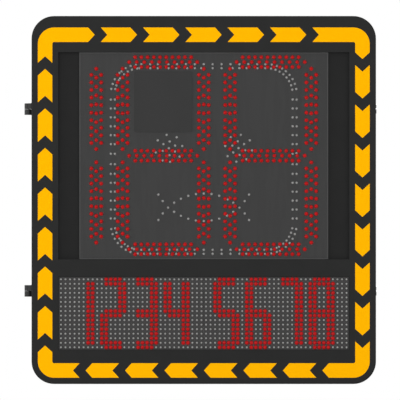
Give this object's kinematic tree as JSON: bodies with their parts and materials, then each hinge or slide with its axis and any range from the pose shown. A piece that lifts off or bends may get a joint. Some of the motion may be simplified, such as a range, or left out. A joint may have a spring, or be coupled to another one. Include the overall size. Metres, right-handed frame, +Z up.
{
  "type": "radar speed sign",
  "caption": "Radar speed sign cabinet for a roadside pole: hinged display door with lamp digits, a dot matrix and an arrow border.",
  "frame": {"origin": "middle of the four pole slots, in the plane of the rails that meets the pole", "axes": "+Z up, +X to the right as the reader sees the sign, +Y from the sign into the pole; the display faces -Y"},
  "size_m": [0.778, 0.1854, 0.812],
  "materials": {
    "cabinet_coat": "fine matt powder coat",
    "carrier_coat": "matt black coat",
    "galvanised_steel": "zinc plated sheet",
    "stainless": "stainless fasteners",
    "lock_chrome": "satin nickel",
    "box_plastic": "moulded grey",
    "regulator_body": "anodised blue",
    "terminal_plastic": "moulded grey",
    "battery_case": "moulded black",
    "gland_plastic": "moulded black",
    "gasket_rubber": "closed cell rubber",
    "tray_plastic": "black moulded tray",
    "board_black": "black solder mask, satin",
    "radar_cover_plastic": "smooth black cover",
    "cast_aluminium": "cast and blasted",
    "module_plastic": "potted matt black",
    "driver_green": "green solder mask",
    "red_lens": "moulded lens",
    "white_lens": "moulded lens",
    "clear_lens": "moulded lens",
    "yellow_film": "retroreflective film"
  },
  "bodies": {
    "case": {"case_shell": "cabinet_coat", "case_hinge_upper": "cabinet_coat", "case_hinge_lower": "cabinet_coat", "rail_upper": "galvanised_steel", "rail_lower": "galvanised_steel", "rail_bolts": "stainless", "rail_nuts": "stainless", "hinge_pin_upper": "stainless", "hinge_pin_lower": "stainless", "keeper_upper": "stainless", "keeper_lower": "stainless", "equipment_plate": "galvanised_steel", "plate_studs": "stainless", "plate_spacers": "stainless", "plate_nuts": "stainless", "control_box": "box_plastic", "control_lid": "box_plastic", "charge_regulator": "regulator_body", "din_rail": "galvanised_steel", "terminal_blocks": "terminal_plastic", "battery_tray": "galvanised_steel", "battery_left": "battery_case", "battery_right": "battery_case", "battery_strap": "galvanised_steel", "strap_bolts": "stainless", "cable_gland": "gland_plastic", "gland_nut": "gland_plastic", "vent_plug": "gland_plastic", "vent_nut": "gland_plastic"},
    "door": {"door_shell": "cabinet_coat", "door_hinge_upper": "cabinet_coat", "door_hinge_lower": "cabinet_coat", "carrier_plate": "carrier_coat", "door_gasket": "gasket_rubber", "door_studs": "stainless", "door_spacers": "stainless", "door_nuts": "stainless", "digit_tray": "tray_plastic", "digit_board": "board_black", "radar_cover": "radar_cover_plastic", "radar_unit": "cast_aluminium", "radar_screws": "stainless", "matrix_left": "module_plastic", "matrix_right": "module_plastic", "matrix_bars": "galvanised_steel", "matrix_screws": "stainless", "driver_board": "driver_green", "red_lamps": "red_lens", "white_lamps": "white_lens", "dark_dots": "clear_lens", "lit_dots": "red_lens", "arrow_border": "yellow_film", "top_arrow_film": "yellow_film", "lock_barrels": "lock_chrome", "lock_nuts": "lock_chrome"},
    "lock_upper": {"lock_plug_upper": "lock_chrome", "lock_hook_upper": "galvanised_steel"},
    "lock_lower": {"lock_plug_lower": "lock_chrome", "lock_hook_lower": "galvanised_steel"}
  },
  "joints": [
    {"name": "door_hinge", "type": "hinge", "parent": "case", "child": "door", "pos_m": [-0.3885, -0.1565, 0], "axis": [0, 0, -1], "range_deg": [0, 120]},
    {"name": "lock_turn_upper", "type": "hinge", "parent": "door", "child": "lock_upper", "pos_m": [0.36, -0.1715, 0.201], "axis": [1, 0, 0], "range_deg": [0, 90]},
    {"name": "lock_turn_lower", "type": "hinge", "parent": "door", "child": "lock_lower", "pos_m": [0.36, -0.1715, -0.201], "axis": [1, 0, 0], "range_deg": [0, 90]}
  ]
}
